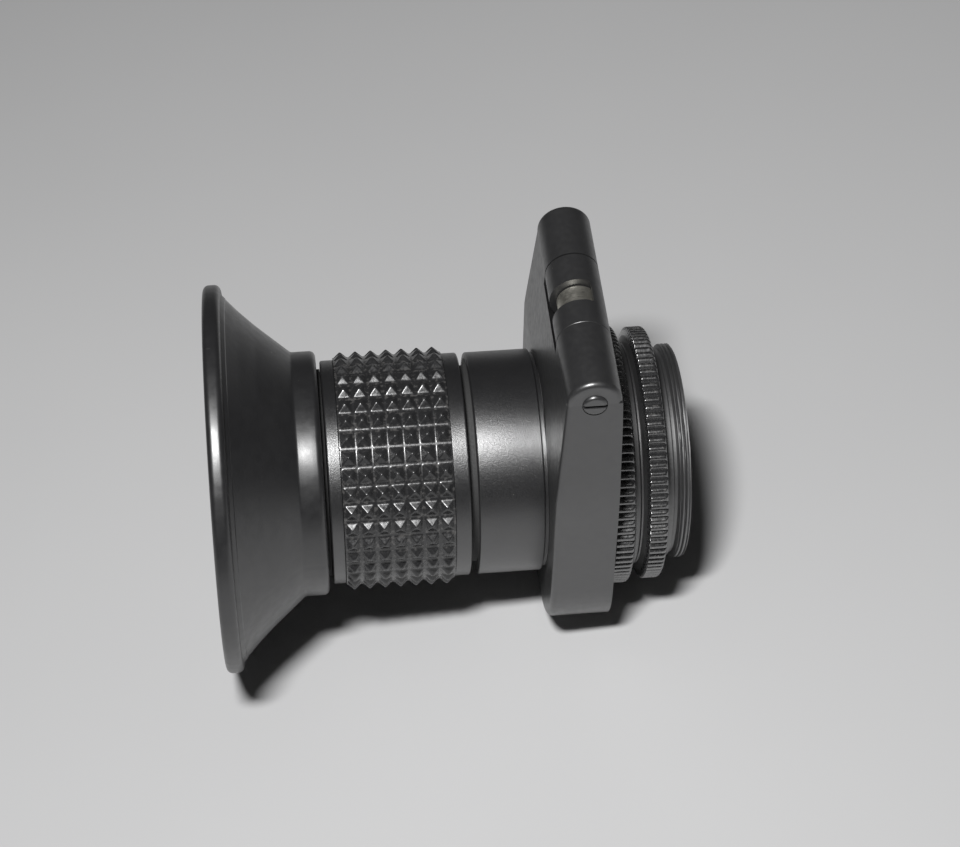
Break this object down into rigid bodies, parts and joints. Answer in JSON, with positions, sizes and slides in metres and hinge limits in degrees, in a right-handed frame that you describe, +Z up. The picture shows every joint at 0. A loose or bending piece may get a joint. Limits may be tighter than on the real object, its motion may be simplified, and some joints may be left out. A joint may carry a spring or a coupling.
{
  "type": "eyepiece magnifier",
  "caption": "Flip-up eyepiece magnifier: flared rubber eyecup, knobbly focus ring, short barrel, hinged block, knurled rings and a male screw mount for a camera finder.",
  "frame": {"origin": "on the optical axis, in the middle of the male camera thread's length", "axes": "+X along the optical axis from the eyecup towards the camera, +Z up towards the hinge, so +Y is to the left of someone looking into the eyecup; the hinge pin is parallel to Y"},
  "size_m": [0.0471, 0.0395, 0.0431],
  "materials": {
    "rubber": "matte black moulded rubber",
    "grip": "semi-gloss black hard rubber with square pyramids",
    "anodised": "satin bead-blasted black anodised aluminium",
    "block": "semi-gloss black finish on a die-cast block",
    "knurl": "black anodised metal, worn bright on the knurl edges",
    "steel": "polished steel",
    "inner": "flat anti-reflection black",
    "glass": "coated optical glass",
    "felt": "black felt"
  },
  "bodies": {
    "base": {"rear_plate": "block", "hinge_sleeve": "steel", "light_seal": "felt", "wave_washer": "steel"},
    "swing": {"swing_housing": "block", "main_barrel": "anodised", "guide_screws": "steel", "barrel_baffle": "inner", "barrel_lock_ring": "inner", "objective_crown_lens": "glass", "objective_flint_lens": "glass", "objective_retaining_ring": "inner", "hinge_pin": "steel"},
    "eyepiece": {"lens_cell": "inner", "eye_front_lens": "glass", "eye_rear_lens": "glass", "lens_spacer": "inner", "eye_retaining_ring": "inner", "ring_retainer": "steel", "eyecup": "rubber"},
    "dioptre_ring": {"focus_ring": "anodised", "focus_grip": "grip", "focus_stop_screw": "steel"},
    "screw_sleeve": {"mount_sleeve": "knurl", "sleeve_retaining_ring": "steel"},
    "adapter": {"adapter_ring": "knurl"}
  },
  "joints": [
    {"name": "flip_up", "type": "hinge", "parent": "base", "child": "swing", "pos_m": [-0.01008, 0, 0.0208], "axis": [0, 1, 0], "range_deg": [0, 100]},
    {"name": "focus_travel", "type": "slide", "parent": "swing", "child": "eyepiece", "axis": [-1, 0, 0], "range_m": [0, 0.0035]},
    {"name": "focus_turn", "type": "hinge", "parent": "eyepiece", "child": "dioptre_ring", "pos_m": [-0.02848, 0, 0], "axis": [-1, 0, 0], "range_deg": [0, 300]},
    {"name": "mount_spin", "type": "hinge", "parent": "base", "child": "screw_sleeve", "pos_m": [-0.00618, 0, 0], "axis": [1, 0, 0], "continuous": true},
    {"name": "adapter_screw", "type": "hinge", "parent": "screw_sleeve", "child": "adapter", "pos_m": [-0.00268, 0, 0], "axis": [1, 0, 0], "continuous": true}
  ],
  "couplings": [
    {"joint": "focus_travel", "follows": "focus_turn", "m_per_rad": 0.000668}
  ]
}
